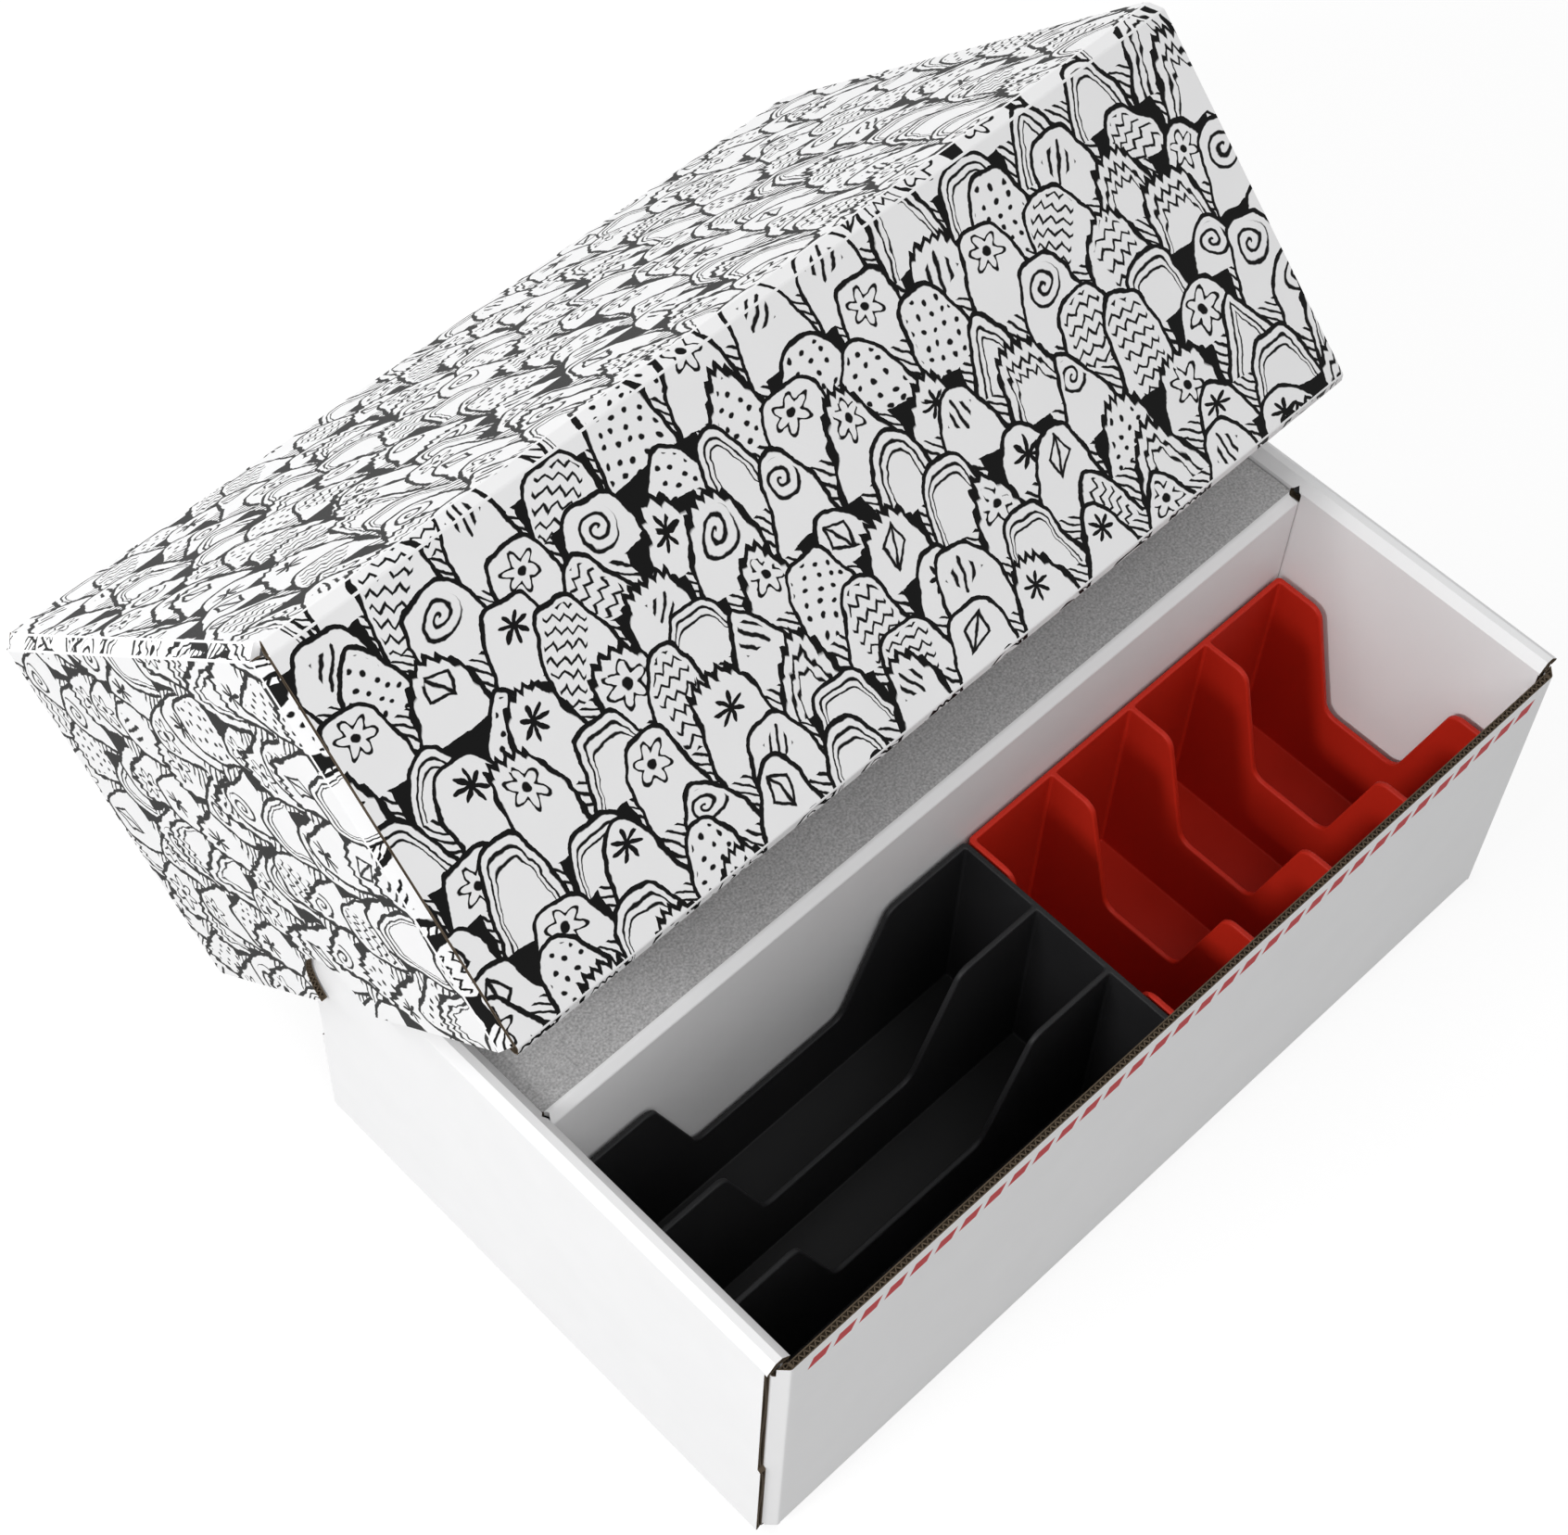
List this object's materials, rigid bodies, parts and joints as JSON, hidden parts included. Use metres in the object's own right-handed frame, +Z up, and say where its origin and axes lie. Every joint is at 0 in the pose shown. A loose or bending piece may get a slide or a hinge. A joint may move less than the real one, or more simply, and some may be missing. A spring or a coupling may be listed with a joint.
{
  "type": "card storage box",
  "caption": "Corrugated card storage box: hollow rear step, slotted card trays with thumb notches that lift out of the front compartment, and a deep lift-off lid tilted over the back.",
  "frame": {"origin": "middle of the base's underside, on the surface that the box stands on", "axes": "+Z up, +X along the base's length to the right when facing its front wall, +Y to its back wall"},
  "size_m": [0.3016, 0.2988, 0.2309],
  "materials": {
    "white_board": "coated matte",
    "printed_board": "coated matte, printed with black line work",
    "black_plastic": "fine matte",
    "red_plastic": "fine matte"
  },
  "bodies": {
    "base": {"base_back_left_flap": "white_board", "base_back_right_flap": "white_board", "base_back_wall": "white_board", "base_deck": "white_board", "base_divider": "white_board", "base_floor": "white_board", "base_front_left_flap": "white_board", "base_front_right_flap": "white_board", "base_front_wall": "white_board", "base_left_inner_wall": "white_board", "base_left_outer_wall": "white_board", "base_left_rim": "white_board", "base_right_inner_wall": "white_board", "base_right_outer_wall": "white_board", "base_right_rim": "white_board"},
    "lid": {"lid_back_inner_wall": "printed_board", "lid_back_left_flap": "printed_board", "lid_back_outer_wall": "printed_board", "lid_back_right_flap": "printed_board", "lid_back_rim": "printed_board", "lid_front_inner_wall": "printed_board", "lid_front_left_flap": "printed_board", "lid_front_outer_wall": "printed_board", "lid_front_right_flap": "printed_board", "lid_front_rim": "printed_board", "lid_left_end": "printed_board", "lid_right_end": "printed_board", "lid_top": "printed_board"},
    "black_tray": {"black_tray": "black_plastic"},
    "red_tray": {"red_tray": "red_plastic"}
  },
  "joints": [
    {"name": "lid_lift", "type": "slide", "parent": "base", "child": "lid", "axis": [0, 0, 1], "range_m": [0, 0.15]},
    {"name": "black_tray_lift", "type": "slide", "parent": "base", "child": "black_tray", "axis": [0, 0, 1], "range_m": [0, 0.115]},
    {"name": "red_tray_lift", "type": "slide", "parent": "base", "child": "red_tray", "axis": [0, 0, 1], "range_m": [0, 0.115]}
  ]
}
